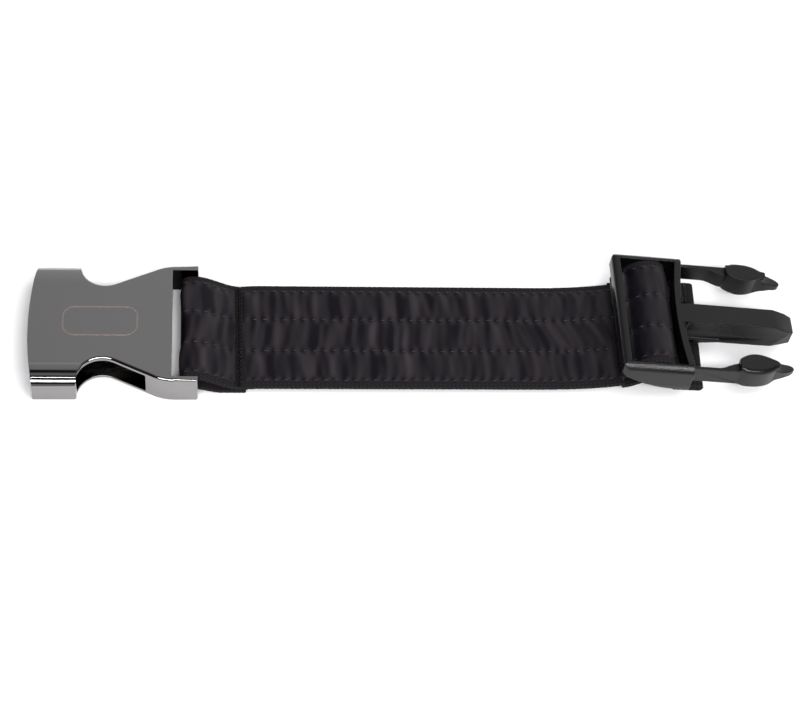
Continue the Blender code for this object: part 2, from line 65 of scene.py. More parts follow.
# Socket shell: a die-cast housing with a gunmetal mirror plating. Two plates are joined at the
# sides, open at the mouth and at both finger notches, and the ears hold the strap's bar.
shell_low, shell_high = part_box("socket_shell")
bar_low, bar_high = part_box("loop_bar")
LINE_Y = (shell_low.y + shell_high.y) / 2 / MM
MOUTH_X = shell_low.x / MM
BAR_X = (bar_low.x + bar_high.x) / 2 / MM
BAR_Z = (bar_low.z + bar_high.z) / 2 / MM
EAR_END_X = shell_high.x / MM
SHELL_HEIGHT = shell_high.z / MM
BLOCK_HALF = (shell_high.y - shell_low.y) / 2 / MM
PLATE_END_X = BAR_X - 6.9      # the plates stop ahead of the bar, which leaves the strap's slot
MOUTH_BOW = 2.5
NOTCH_START, NOTCH_DEPTH, NOTCH_RADIUS = 18.9, 10.5, 9.6
ROLL_START, ROLL_LENGTH = 18.2, 33.0
FAR_STRETCH, FAR_FADE = 1.06, 0.05     # the casting is a little fuller on its far side, less so at the ear


def ease(value, start, end):
    """0 before start, 1 after end, and smooth between."""
    share = min(max((value - start) / (end - start), 0.0), 1.0)
    return share * share * (3 - 2 * share)


def round_arc(centre_x, centre_y, radius, start, end, steps):
    """Points on an arc, with its angles in degrees."""
    turns = [math.radians(start + (end - start) * step / steps) for step in range(steps + 1)]
    return [(centre_x + radius * math.cos(turn), centre_y + radius * math.sin(turn)) for turn in turns]


def cut_out(name, outline, low, high):
    """A flat shape with this outline, drawn out from low to high."""
    bpy.ops.object.select_all(action="DESELECT")
    bpy.ops.mesh.primitive_circle_add(vertices=len(outline), radius=1.0, fill_type="NGON")
    piece = bpy.context.object
    piece.name = name
    for vertex, (x, y) in zip(piece.data.vertices, outline):
        vertex.co = (x * MM, y * MM, low * MM)
    bpy.ops.object.mode_set(mode="EDIT")
    bpy.ops.mesh.select_all(action="SELECT")
    bpy.ops.mesh.extrude_region_move(TRANSFORM_OT_translate={"value": (0, 0, (high - low) * MM)})
    bpy.ops.mesh.select_all(action="SELECT")
    bpy.ops.mesh.normals_make_consistent(inside=False)
    bpy.ops.object.mode_set(mode="OBJECT")
    return piece


def turned(piece, matrix):
    piece.data.transform(matrix)
    return piece


def work_on(piece, tool, operation):
    """Cuts, joins or trims a piece with a tool, which is used up."""
    step = piece.modifiers.new("work", "BOOLEAN")
    step.operation = operation
    step.solver = "EXACT"
    step.object = tool
    bpy.context.view_layer.objects.active = piece
    bpy.ops.object.modifier_apply(modifier=step.name)
    bpy.data.objects.remove(tool, do_unlink=True)


def soften(piece, width, steps=3, corner=30):
    """Rounds the sharp edges that are left, and evens out the shading."""
    bpy.ops.object.select_all(action="DESELECT")
    piece.select_set(True)
    bpy.context.view_layer.objects.active = piece
    bpy.ops.object.mode_set(mode="EDIT")
    bpy.ops.mesh.select_all(action="SELECT")
    bpy.ops.mesh.remove_doubles(threshold=0.000004)
    bpy.ops.mesh.dissolve_limited(angle_limit=math.radians(0.4))
    bpy.ops.object.mode_set(mode="OBJECT")
    edge = piece.modifiers.new("edge", "BEVEL")
    edge.width = width * MM
    edge.segments = steps
    edge.limit_method = "ANGLE"
    edge.angle_limit = math.radians(corner)
    edge.use_clamp_overlap = False
    edge.miter_outer = "MITER_ARC"
    bpy.ops.object.modifier_apply(modifier=edge.name)
    bpy.ops.object.shade_smooth_by_angle(angle=math.radians(40))
    even = piece.modifiers.new("even", "WEIGHTED_NORMAL")
    even.keep_sharp = True
    bpy.ops.object.modifier_apply(modifier=even.name)


SIDE_VIEW = Matrix.Rotation(math.radians(90), 4, "X")          # the outline's Y becomes Z
END_VIEW = Matrix.Rotation(math.radians(90), 4, "Z") @ SIDE_VIEW    # its X becomes Y as well
SOCKET_PLACE = Matrix.Translation((0, LINE_Y * MM, 0))


def shell_outline():
    """The housing from above: bowed mouth, round finger notches, slopes, and straight ears."""
    slope, ear_radius, corner, tip = math.radians(27.2), 18.0, 0.8, 0.5
    centre_x = MOUTH_X + NOTCH_START + NOTCH_RADIUS
    centre_y = BLOCK_HALF - NOTCH_DEPTH + NOTCH_RADIUS
    side = [(MOUTH_X + MOUTH_BOW, BLOCK_HALF)]
    side += round_arc(centre_x - NOTCH_RADIUS - corner, BLOCK_HALF - corner, corner, 90, 0, 5)
    side += round_arc(centre_x, centre_y, NOTCH_RADIUS, 180, 360 + math.degrees(slope) - 90, 36)
    rise = BLOCK_HALF - ear_radius * (1 - math.cos(slope)) - side[-1][1]
    top_x = side[-1][0] + rise / math.tan(slope) + ear_radius * math.sin(slope)
    side += round_arc(top_x, BLOCK_HALF - ear_radius, ear_radius, 90 + math.degrees(slope), 90, 12)
    side += [(EAR_END_X - tip, BLOCK_HALF), (EAR_END_X, BLOCK_HALF - tip)]
    bow = (BLOCK_HALF ** 2 + MOUTH_BOW ** 2) / (2 * MOUTH_BOW)
    spread = math.degrees(math.asin(BLOCK_HALF / bow))
    mouth = round_arc(MOUTH_X + bow, 0.0, bow, 180 + spread, 180 - spread, 32)
    outline = [(x, -y) for x, y in reversed(side)] + mouth + side
    return [(x, y if y <= 0 else y * (FAR_STRETCH - FAR_FADE * ease(x, MOUTH_X + 30, MOUTH_X + 48)))
            for x, y in outline]


def roll_section(start, tilts, side_half):
    """What a rolled edge takes off, across the housing: it steepens from the flat top to the side."""
    y, z = start, SHELL_HEIGHT
    curve = [(y, z)]
    for length, tilt in tilts:
        y += length * math.cos(math.radians(tilt))
        z -= length * math.sin(math.radians(tilt))
        curve.append((y, z))
    stretch = (side_half - start) / (y - start)
    curve = [(start + (y - start) * stretch, z) for y, z in curve]
    outside, above = side_half + 3, SHELL_HEIGHT + 2
    return curve + [(outside, curve[-1][1]), (outside, above), (start, above)]


# each step of the roll is a length and its tilt in degrees
block_roll = [(0.42, tilt) for tilt in (1, 2, 3, 4, 5, 6.5, 8, 9.5, 11, 12.5, 14, 15.5, 17, 18.5, 20)]
block_roll += [(0.4, 22 + 2.4 * step) for step in range(5)] + [(0.28, 34 + 2.4 * step) for step in range(5)]
block_roll += [(0.165, 46 + 2.4 * step) for step in range(10)] + [(0.5, 88.5)]
socket_shell = cut_out("socket_housing", shell_outline(), 0.0, SHELL_HEIGHT)
bpy.ops.object.mode_set(mode="EDIT")
bpy.ops.mesh.select_all(action="DESELECT")
bpy.ops.object.mode_set(mode="OBJECT")
for edge in socket_shell.data.edges:
    ends = [socket_shell.data.vertices[index].co / MM for index in edge.vertices]
    edge.select = (min(end.z for end in ends) > SHELL_HEIGHT - 0.1
                   and all(MOUTH_X + NOTCH_START - 0.4 < end.x < EAR_END_X - 0.1 for end in ends))
bpy.ops.object.mode_set(mode="EDIT")
bpy.ops.mesh.select_mode(type="EDGE")
bpy.ops.mesh.bevel(offset=1.4 * MM, segments=8, affect="EDGES")
bpy.ops.object.mode_set(mode="OBJECT")
for sign in (-1, FAR_STRETCH):
    roll = [(sign * y, z) for y, z in roll_section(ROLL_START, block_roll, BLOCK_HALF)]
    roll = turned(cut_out("roll", roll, MOUTH_X - 2, MOUTH_X + ROLL_LENGTH), END_VIEW)
    work_on(socket_shell, roll, "DIFFERENCE")
lower_wall, upper_wall, side_wall, back_wall = 1.2, 1.7, 2.35, 2.8
step_x = MOUTH_X + NOTCH_START + NOTCH_RADIUS
cavity_half = BLOCK_HALF - side_wall
narrow_half = cavity_half - 1.1        # the catch steps, which the plug's heads snap behind
cavity = [(MOUTH_X - 1, cavity_half), (step_x, cavity_half), (step_x, narrow_half),
          (PLATE_END_X - back_wall, narrow_half)]
cavity += [(x, -y) for x, y in reversed(cavity)]
work_on(socket_shell, cut_out("cavity", cavity, lower_wall, SHELL_HEIGHT - upper_wall), "DIFFERENCE")
slot_half = 25.7
slot = [(PLATE_END_X, -slot_half), (EAR_END_X + 5, -slot_half), (EAR_END_X + 5, slot_half),
        (PLATE_END_X, slot_half)]
work_on(socket_shell, cut_out("slot", slot, -1.0, SHELL_HEIGHT + 2.0), "DIFFERENCE")
bore_radius, ear_skin = 1.9, 0.8
bore = round_arc(BAR_X, BAR_Z, bore_radius, 0, 348.75, 31)
bore = cut_out("bore", bore, -BLOCK_HALF + ear_skin, BLOCK_HALF - ear_skin)
work_on(socket_shell, turned(bore, SIDE_VIEW), "DIFFERENCE")
soften(socket_shell, 0.22, 3, 42)
turned(socket_shell, SOCKET_PLACE)


def new_material(name, colour, roughness, metallic=0.0):
    """A procedural material; returns it with its node tree and its shader."""
    made = bpy.data.materials.new(name)
    made.use_nodes = True
    shader = made.node_tree.nodes["Principled BSDF"]
    shader.inputs["Base Color"].default_value = (*colour, 1.0)
    shader.inputs["Roughness"].default_value = roughness
    shader.inputs["Metallic"].default_value = metallic
    return made, made.node_tree, shader


def dress(piece, material, body, slot_name, *nodes):
    """Gives a piece its material, its body, and the nodes that it stands for; the slot name is not used."""
    piece.data.materials.clear()
    piece.data.materials.append(material)
    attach(piece, body)
    if nodes:
        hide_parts(*nodes)
    return piece


def grain_group():
    """Shared fine grain: a soft noise and a tight speckle, as a height and a mask."""
    group = bpy.data.node_groups.new("fine_grain", "ShaderNodeTree")
    group.interface.new_socket("Vector", in_out="INPUT", socket_type="NodeSocketVector")
    group.interface.new_socket("Scale", in_out="INPUT", socket_type="NodeSocketFloat")
    group.interface.new_socket("Height", in_out="OUTPUT", socket_type="NodeSocketFloat")
    group.interface.new_socket("Mask", in_out="OUTPUT", socket_type="NodeSocketFloat")
    start = group.nodes.new("NodeGroupInput")
    end = group.nodes.new("NodeGroupOutput")
    cells = group.nodes.new("ShaderNodeTexVoronoi")
    cloud = group.nodes.new("ShaderNodeTexNoise")
    slow = group.nodes.new("ShaderNodeMath")
    slow.operation = "MULTIPLY"
    slow.inputs[1].default_value = 0.04
    cloud.inputs["Detail"].default_value = 3.0
    group.links.new(start.outputs["Vector"], cells.inputs["Vector"])
    group.links.new(start.outputs["Scale"], cells.inputs["Scale"])
    group.links.new(start.outputs["Vector"], cloud.inputs["Vector"])
    group.links.new(start.outputs["Scale"], slow.inputs[0])
    group.links.new(slow.outputs[0], cloud.inputs["Scale"])
    group.links.new(cells.outputs["Distance"], end.inputs["Height"])
    group.links.new(cloud.outputs["Fac"], end.inputs["Mask"])
    return group


GRAIN = grain_group()


def add_grain(tree, shader, scale, depth, rough_low, rough_high):
    """Places the grain in a material: bump from its height, and roughness from its mask."""
    place = tree.nodes.new("ShaderNodeTexCoord")
    grain = tree.nodes.new("ShaderNodeGroup")
    grain.node_tree = GRAIN
    grain.inputs["Scale"].default_value = scale
    bump = tree.nodes.new("ShaderNodeBump")
    bump.inputs["Strength"].default_value = 1.0
    bump.inputs["Distance"].default_value = depth * MM
    spread = tree.nodes.new("ShaderNodeMapRange")
    spread.inputs["From Min"].default_value = 0.35
    spread.inputs["From Max"].default_value = 0.65
    spread.inputs["To Min"].default_value = rough_low
    spread.inputs["To Max"].default_value = rough_high
    tree.links.new(place.outputs["Object"], grain.inputs["Vector"])
    tree.links.new(grain.outputs["Height"], bump.inputs["Height"])
    tree.links.new(bump.outputs["Normal"], shader.inputs["Normal"])
    tree.links.new(grain.outputs["Mask"], spread.inputs["Value"])
    tree.links.new(spread.outputs["Result"], shader.inputs["Roughness"])


gunmetal, gunmetal_tree, gunmetal_shader = new_material("gunmetal_plating", (0.285, 0.278, 0.276), 0.055, 1.0)
add_grain(gunmetal_tree, gunmetal_shader, 900.0, 0.00006, 0.04, 0.09)
# painted shade: the slot's own walls are coloured near black, for the shade that fills the slot
slot_place = gunmetal_tree.nodes.new("ShaderNodeTexCoord")
slot_axes = gunmetal_tree.nodes.new("ShaderNodeSeparateXYZ")
slot_shade_mix = gunmetal_tree.nodes.new("ShaderNodeMix")
slot_shade_mix.data_type = "RGBA"
slot_shade_mix.inputs["A"].default_value = gunmetal_shader.inputs["Base Color"].default_value
slot_shade_mix.inputs["B"].default_value = (0.012, 0.012, 0.013, 1)
gunmetal_tree.links.new(slot_place.outputs["Object"], slot_axes.inputs[0])
tests = []
for axis, operation, first, second in (("Y", "COMPARE", LINE_Y * MM, (slot_half + 0.12) * MM),
                                       ("X", "GREATER_THAN", (PLATE_END_X - 0.12) * MM, 0.0)):
    test = gunmetal_tree.nodes.new("ShaderNodeMath")
    test.operation = operation
    test.inputs[1].default_value = first
    test.inputs[2].default_value = second
    gunmetal_tree.links.new(slot_axes.outputs[axis], test.inputs[0])
    tests.append(test)
slot_shade_mask = gunmetal_tree.nodes.new("ShaderNodeMath")
slot_shade_mask.operation = "MULTIPLY"
for test, socket in zip(tests, slot_shade_mask.inputs):
    gunmetal_tree.links.new(test.outputs[0], socket)
gunmetal_tree.links.new(slot_shade_mask.outputs[0], slot_shade_mix.inputs["Factor"])
gunmetal_tree.links.new(slot_shade_mix.outputs["Result"], gunmetal_shader.inputs["Base Color"])
dress(socket_shell, gunmetal, "socket", "gunmetal", "socket_shell")


# Badge: a plain rounded outline, laser-etched in the plating, so it is a little rougher and warmer
# than the mirror round it. It is left empty.
def round_box(half_x, half_y, radius, steps=8):
    points = []
    for turn, sign_x, sign_y in ((0, 1, 1), (90, -1, 1), (180, -1, -1), (270, 1, -1)):
        centre = (sign_x * (half_x - radius), sign_y * (half_y - radius))
        points += round_arc(*centre, radius, turn, turn + 90, steps)
    return points


etched, etched_tree, etched_shader = new_material("etched_badge", (0.42, 0.36, 0.335), 0.4, 1.0)
add_grain(etched_tree, etched_shader, 5000.0, 0.01, 0.34, 0.5)
BADGE_X, BADGE_Y, BADGE_RADIUS, BADGE_LINE = 14.3, 7.1, 4.8, 0.55
badge = cut_out("badge_outline", round_box(BADGE_X, BADGE_Y, BADGE_RADIUS), 0.0, 0.06)
inside = round_box(BADGE_X - BADGE_LINE, BADGE_Y - BADGE_LINE, BADGE_RADIUS - BADGE_LINE)
work_on(badge, cut_out("inside", inside, -1.0, 1.0), "DIFFERENCE")
turned(badge, Matrix.Translation(((MOUTH_X + 27.1) * MM, (LINE_Y + 0.5) * MM, (SHELL_HEIGHT - 0.035) * MM)))
dress(badge, etched, "socket", "gunmetal")


# Guide insert: a black moulded liner pushed into the housing. Its two ribs steer the plug's
# tongue, and it is seen only through the mouth and the notches.
insert_low, insert_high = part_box("guide_insert")
channel, rib = 6.8, 1.2
insert_end = insert_high.x / MM
insert_start = insert_low.x / MM
guide = [(insert_end, channel + rib), (insert_start, channel + rib), (insert_start, channel + rib / 2),
         (insert_start + 2, channel), (insert_end - 1.9, channel)]
guide += [(x, -y) for x, y in reversed(guide)]
guide_insert = cut_out("tongue_guide", guide, insert_low.z / MM, insert_high.z / MM)
soften(guide_insert, 0.2, 2)
turned(guide_insert, SOCKET_PLACE)
acetal, acetal_tree, acetal_shader = new_material("black_acetal", (0.002, 0.0018, 0.0023), 0.3)
add_grain(acetal_tree, acetal_shader, 1900.0, 0.034, 0.26, 0.34)
acetal_shader.inputs["Specular IOR Level"].default_value = 0.38
dress(guide_insert, acetal, "socket", "black_acetal", "guide_insert")


# Loop bar: a plain steel pin held between the ears, with chamfered ends.
bpy.ops.object.select_all(action="DESELECT")
bpy.ops.mesh.primitive_cylinder_add(vertices=48, radius=1.6 * MM, depth=bar_high.y - bar_low.y)
loop_bar = bpy.context.object
loop_bar.name = "ear_pin"
turned(loop_bar, Matrix.Translation((BAR_X * MM, LINE_Y * MM, BAR_Z * MM)) @ SIDE_VIEW)
soften(loop_bar, 0.25, 2, 50)
steel, steel_tree, steel_shader = new_material("pin_steel", (0.12, 0.12, 0.13), 0.3, 1.0)
add_grain(steel_tree, steel_shader, 3000.0, 0.004, 0.24, 0.36)
dress(loop_bar, steel, "socket", "bar_steel", "loop_bar")


# Strap cloth: black webbing with a satin face. The face is held by four rows of stitches and puckers
# between them. Each stretch is made flat, then laid along its path, with the flat sizes kept as its UV map.
ROWS = (-21.7, -7.6, 7.6, 21.7)
STITCH_PITCH = 3.8
WEB_HALF = 24.8
SATIN_HALF = 22.6


def satin_height(along, across, fullness=1.0):
    """How far the satin stands off the webbing: it swells between the rows and puckers crosswise."""
    near = min(abs(across - row) for row in ROWS)
    lane = 0 if across < ROWS[1] else (1 if across < ROWS[2] else 2)
    if abs(across) > ROWS[3]:
        return 0.12 - 0.1 * (abs(across) - ROWS[3])
    slant = (0.1, 0.5, -0.12)[lane] * ease(along, 86, 120) + (0.0, -0.12, 0.05)[lane]
    run = along + across * slant
    wide = noise.noise((run / 6.2, across / 30, 9.7 * lane))
    wide += 0.3 * noise.noise((run / 2.8, across / 20, 4.1 * lane + 30))
    wide *= 0.8 + 0.8 * noise.noise((along / 21, across / 19, 3.3 * lane + 60))
    swell = math.sin(min(near / 4.0, 1.0) * math.pi / 2)
    step = (along % STITCH_PITCH) / STITCH_PITCH
    gather = math.cos(2 * math.pi * step) * math.exp(-near / 1.3)
    height = 0.1 + swell * (0.34 + 0.72 * fullness * wide) - 0.14 * gather
    return 0.1 * math.log(1 + math.exp(height / 0.1))


def flat_panel(name, start, end, half_width, steps_along, steps_across):
    """A flat grid from start to end along X and to both sides of the middle."""
    bpy.ops.object.select_all(action="DESELECT")
    bpy.ops.mesh.primitive_grid_add(x_subdivisions=steps_along, y_subdivisions=steps_across, size=1.0)
    panel = bpy.context.object
    panel.name = name
    panel.data.transform(Matrix.Translation(((start + end) / 2, 0, 0))
                         @ Matrix.Diagonal((end - start, 2 * half_width, 1, 1)))
    return panel


def thicken(panel, thickness, offset, edge):
    """Gives a panel that is still in millimetres its thickness, and turns it into metres."""
    flat_map = panel.data.uv_layers.new(name="flat")
    for corner in panel.data.loops:
        place = panel.data.vertices[corner.vertex_index].co
        flat_map.data[corner.index].uv = (place.x * MM * 10, place.y * MM * 10)
    panel.data.transform(Matrix.Scale(MM, 4))
    bpy.context.view_layer.objects.active = panel
    wall = panel.modifiers.new("wall", "SOLIDIFY")
    wall.thickness = thickness * MM
    wall.offset = offset
    bpy.ops.object.modifier_apply(modifier=wall.name)
    if edge:
        rim = panel.modifiers.new("rim", "BEVEL")
        rim.width = edge * MM
        rim.segments = 3
        rim.limit_method = "ANGLE"
        rim.angle_limit = math.radians(60)
        rim.use_clamp_overlap = False
        bpy.ops.object.modifier_apply(modifier=rim.name)
    bpy.ops.object.shade_smooth_by_angle(angle=math.radians(50))


def lay(piece, path, sideways):
    """Lays a flat piece along a side-view path; its Z stands off the path, and sideways moves it across."""
    lengths = [0.0]
    for before, after in zip(path, path[1:]):
        lengths.append(lengths[-1] + math.dist(before, after))
    normals = []
    for index in range(len(path)):
        before, after = path[max(index - 1, 0)], path[min(index + 1, len(path) - 1)]
        along = Vector((after[0] - before[0], after[1] - before[1])).normalized()
        normals.append(Vector((-along.y, along.x)))
    for vertex in piece.data.vertices:
        along = vertex.co.x / MM
        index = min(max(bisect.bisect_right(lengths, along) - 1, 0), len(path) - 2)
        share = (along - lengths[index]) / (lengths[index + 1] - lengths[index])
        place = Vector(path[index]).lerp(Vector(path[index + 1]), share)
        blend = min(max(share, 0.0), 1.0)
        normal = normals[index].lerp(normals[index + 1], blend).normalized()
        place += normal * (vertex.co.z / MM)
        shift = sideways(place.x)
        vertex.co = (place.x * MM, vertex.co.y + shift * MM, place.y * MM)
    piece.data.update()


def weave_group():
    """Shared weave: crossed yarns, as a height that also picks their colour."""
    group = bpy.data.node_groups.new("crossed_yarns", "ShaderNodeTree")
    group.interface.new_socket("Vector", in_out="INPUT", socket_type="NodeSocketVector")
    group.interface.new_socket("Warp", in_out="INPUT", socket_type="NodeSocketFloat")
    group.interface.new_socket("Weft", in_out="INPUT", socket_type="NodeSocketFloat")
    group.interface.new_socket("Height", in_out="OUTPUT", socket_type="NodeSocketFloat")
    start = group.nodes.new("NodeGroupInput")
    end = group.nodes.new("NodeGroupOutput")
    apart = group.nodes.new("ShaderNodeSeparateXYZ")
    group.links.new(start.outputs["Vector"], apart.inputs[0])

    def math_node(operation, first, second=None):
        node = group.nodes.new("ShaderNodeMath")
        node.operation = operation
        for socket, value in zip(node.inputs, (first, second)):
            if isinstance(value, float):
                socket.default_value = value
            elif value is not None:
                group.links.new(value, socket)
        return node.outputs[0]

    warp = math_node("SINE", math_node("MULTIPLY", apart.outputs["X"], start.outputs["Warp"]))
    weft = math_node("SINE", math_node("MULTIPLY", apart.outputs["Y"], start.outputs["Weft"]))
    crossed = math_node("MULTIPLY", warp, weft)
    both = math_node("ADD", math_node("MULTIPLY", crossed, 0.6),
                     math_node("MULTIPLY", math_node("ADD", warp, weft), 0.2))
    group.links.new(math_node("MULTIPLY_ADD", both, 0.5), end.inputs["Height"])
    return group


WEAVE = weave_group()


def add_weave(tree, shader, warp, weft, depth, dark, light):
    """Places the weave on a piece's flat map: bump from its height, and colour from dark to light yarns."""
    place = tree.nodes.new("ShaderNodeUVMap")
    place.uv_map = "flat"
    weave = tree.nodes.new("ShaderNodeGroup")
    weave.node_tree = WEAVE
    weave.inputs["Warp"].default_value = warp
    weave.inputs["Weft"].default_value = weft
    bump = tree.nodes.new("ShaderNodeBump")
    bump.inputs["Distance"].default_value = depth * MM
    ramp = tree.nodes.new("ShaderNodeValToRGB")
    ramp.color_ramp.elements[0].color = (*dark, 1)
    ramp.color_ramp.elements[1].color = (*light, 1)
    tree.links.new(place.outputs["UV"], weave.inputs["Vector"])
    tree.links.new(weave.outputs["Height"], bump.inputs["Height"])
    tree.links.new(weave.outputs["Height"], ramp.inputs["Fac"])
    tree.links.new(ramp.outputs["Color"], shader.inputs["Base Color"])
    tree.links.new(bump.outputs["Normal"], shader.inputs["Normal"])


webbing, webbing_tree, webbing_shader = new_material("black_webbing", (0.01, 0.009, 0.01), 0.75)
add_weave(webbing_tree, webbing_shader, 390.0, 480.0, 0.3, (0.001, 0.0008, 0.0012), (0.022, 0.019, 0.0225))
webbing_shader.inputs["Specular IOR Level"].default_value = 0.12
satin, satin_tree, satin_shader = new_material("black_satin", (0.013, 0.011, 0.014), 0.45)
add_weave(satin_tree, satin_shader, 640.0, 900.0, 0.015, (0.0014, 0.0009, 0.0026), (0.0044, 0.0032, 0.0056))
satin_shader.inputs["Specular IOR Level"].default_value = 0.16
# painted sheen: a lighter colour is added to the satin where its slopes would catch the light
painted_sheen_read = satin_tree.nodes.new("ShaderNodeAttribute")
painted_sheen_read.attribute_name = "painted_sheen"
painted_sheen_ramp = satin_tree.nodes.new("ShaderNodeValToRGB")
painted_sheen_ramp.color_ramp.elements[0].position = 0.35
painted_sheen_ramp.color_ramp.elements[0].color = (0.0, 0.0, 0.0, 1)
painted_sheen_ramp.color_ramp.elements[1].position = 0.85
painted_sheen_ramp.color_ramp.elements[1].color = (0.025, 0.0208, 0.0232, 1)
painted_sheen_add = satin_tree.nodes.new("ShaderNodeMix")
painted_sheen_add.data_type = "RGBA"
painted_sheen_add.blend_type = "ADD"
painted_sheen_add.inputs["Factor"].default_value = 1.0
weave_colour = satin_shader.inputs["Base Color"].links[0].from_socket
satin_tree.links.new(painted_sheen_read.outputs["Fac"], painted_sheen_ramp.inputs["Fac"])
satin_tree.links.new(weave_colour, painted_sheen_add.inputs["A"])
satin_tree.links.new(painted_sheen_ramp.outputs["Color"], painted_sheen_add.inputs["B"])
satin_tree.links.new(painted_sheen_add.outputs["Result"], satin_shader.inputs["Base Color"])
thread, thread_tree, thread_shader = new_material("black_thread", (0.006, 0.0055, 0.0065), 0.3)
add_grain(thread_tree, thread_shader, 4000.0, 0.02, 0.28, 0.45)


def edge_wave(along):
    """The woven edge: small bumps where the weft turns back."""
    return 0.11 * math.sin(2 * math.pi * along / 1.9) + 0.05 * math.sin(along * 0.7)


def make_webbing(name, start, end, thickness=1.5):
    band = flat_panel(name, start, end, WEB_HALF, max(int((end - start) / 0.4), 8), 14)
    for vertex in band.data.vertices:
        side = max(abs(vertex.co.y) - 22.0, 0.0) / 3.0
        vertex.co.y += math.copysign(side * edge_wave(vertex.co.x), vertex.co.y)
    thicken(band, thickness, 0.0, 0.4)
    return band


def make_satin(name, start, end, base=0.78, fullness=1.0, painted_sheen_span=(-2, -1)):
    """A stretch of the satin face. Its colour gets a painted sheen, lighter where the satin falls away along
    its length, which fades in over the given span and leaves the stretch before it in painted shade.
    """
    face = flat_panel(name, start, end, SATIN_HALF, max(int((end - start) / 0.42), 12), 112)
    painted_sheen = face.data.attributes.new("painted_sheen", "FLOAT", "POINT")
    for vertex in face.data.vertices:
        x, y, _ = vertex.co
        vertex.co.z = base + satin_height(x, y, fullness)
        slope = satin_height(x + 0.7, y, fullness) - satin_height(x - 0.7, y, fullness)
        painted_sheen.data[vertex.index].value = (0.5 - 1.0 * slope) * ease(x, *painted_sheen_span)
    thicken(face, 0.22, -1.0, 0)
    return face


def make_stitches(name, spots, length=2.3, width=0.28):
    """One thread stitch copied to every spot, each an (along, across, height, turn) on the flat strap."""
    bpy.ops.object.select_all(action="DESELECT")
    bpy.ops.mesh.primitive_uv_sphere_add(segments=8, ring_count=8, radius=1.0)
    first = bpy.context.object
    first.data.transform(Matrix.Rotation(math.radians(90), 4, "Y"))
    for vertex in first.data.vertices:
        x, y, z = vertex.co
        round_off = 1 - 0.25 * abs(x)
        vertex.co = (x * length / 2, y * width * round_off, z * width * round_off - 0.16 * x * x)
    bpy.ops.object.shade_smooth()
    copies = []
    for along, across, height, turn in spots:
        copy = first.copy()
        copy.data = first.data.copy()
        copy.data.transform(Matrix.Translation((along, across, height)) @ Matrix.Rotation(turn, 4, "Z"))
        bpy.context.scene.collection.objects.link(copy)
        copies.append(copy)
    bpy.data.objects.remove(first, do_unlink=True)
    bpy.ops.object.select_all(action="DESELECT")
    for copy in copies:
        copy.select_set(True)
    bpy.context.view_layer.objects.active = copies[0]
    bpy.ops.object.join()
    copies[0].name = name
    copies[0].data.transform(Matrix.Scale(MM, 4))
    return copies[0]


def row_spots(start, end, base=0.78):
    """Where the stitches of the four rows lie."""
    spots = []
    for row in ROWS:
        place = math.ceil(start / STITCH_PITCH) * STITCH_PITCH + STITCH_PITCH / 2
        while place < end:
            wander = 0.12 * math.sin(place * 1.3 + row)
            height = base + satin_height(place, row) + 0.02
            spots.append((place, row + wander, height, 0.12 * math.sin(place * 2.7)))
            place += STITCH_PITCH
    return spots


def middle(_):
    return LINE_Y


# Strap loop: the folded end of the strap, turned round the bar. Its upper layer slopes from the
# bar down to the seam, and its lower layer comes back under the main run.
SEAM_X = BAR_X + 17.9
LOOP_RADIUS = 2.85
MAIN_CENTRE = 2.75             # height of the middle of the main run's webbing
loop_path = []
for step in range(31):
    x = SEAM_X + 1.3 + (BAR_X + 1.5 - SEAM_X - 1.3) * step / 30
    fall = 1 - ease(x, BAR_X + 1.5, SEAM_X + 1.3)
    loop_path.append((x, MAIN_CENTRE + (BAR_Z + LOOP_RADIUS - MAIN_CENTRE) * fall))
loop_path += round_arc(BAR_X, BAR_Z, LOOP_RADIUS, 85, 275, 40)
for step in range(1, 31):
    x = BAR_X + 1.5 + (SEAM_X + 3.2 - BAR_X - 1.5) * step / 30
    fall = 1 - ease(x, BAR_X + 1.5, BAR_X + 12)
    loop_path.append((x, 0.85 + (BAR_Z - LOOP_RADIUS - 0.85) * fall))
loop_path = [(x, z) for x, z in reversed(loop_path)]
loop_length = sum(math.dist(a, b) for a, b in zip(loop_path, loop_path[1:]))
loop_top = loop_length - 31.5
loop_web = make_webbing("loop_webbing", 0.0, loop_length)
lay(loop_web, loop_path, middle)
dress(loop_web, webbing, "strap", "black_webbing", "strap_loop")
loop_satin = make_satin("loop_satin", loop_top, loop_length - 2.6)
lay(loop_satin, loop_path, middle)
dress(loop_satin, satin, "strap", "black_satin")
loop_rows = make_stitches("loop_stitches", row_spots(loop_top + 6, loop_length - 3.5))
lay(loop_rows, loop_path, middle)
dress(loop_rows, thread, "strap", "black_thread")


# Cross seam: three columns of dense zigzag stitches in a near-black thread, partly its own black and partly
# painted shade for the seam's groove. It closes the loop and holds its lower layer under the main run.
seam_spots = []
for column in (-1.0, 0.0, 1.0):
    for step in range(48):
        across = -SATIN_HALF - 1.2 + step * 1.0
        seam_spots.append((column + 3, across, 0.85, math.radians(48 if step % 2 else -48)))
cross_seam = make_stitches("zigzag_seam", seam_spots, 1.9, 0.42)
lay(cross_seam, [(SEAM_X - 3, MAIN_CENTRE), (SEAM_X + 3, MAIN_CENTRE)], middle)
# painted shade: the seam thread is coloured darker than the other thread, to stand in for the shade in the
# seam's groove
seam_thread_and_groove_shade, seam_tree, seam_shader = new_material("seam_thread_and_groove_shade", (0.0008, 0.0008, 0.001), 0.4)
seam_shader.inputs["Specular IOR Level"].default_value = 0.2
add_grain(seam_tree, seam_shader, 4000.0, 0.015, 0.35, 0.55)
dress(cross_seam, seam_thread_and_groove_shade, "strap", "black_thread", "cross_seam")
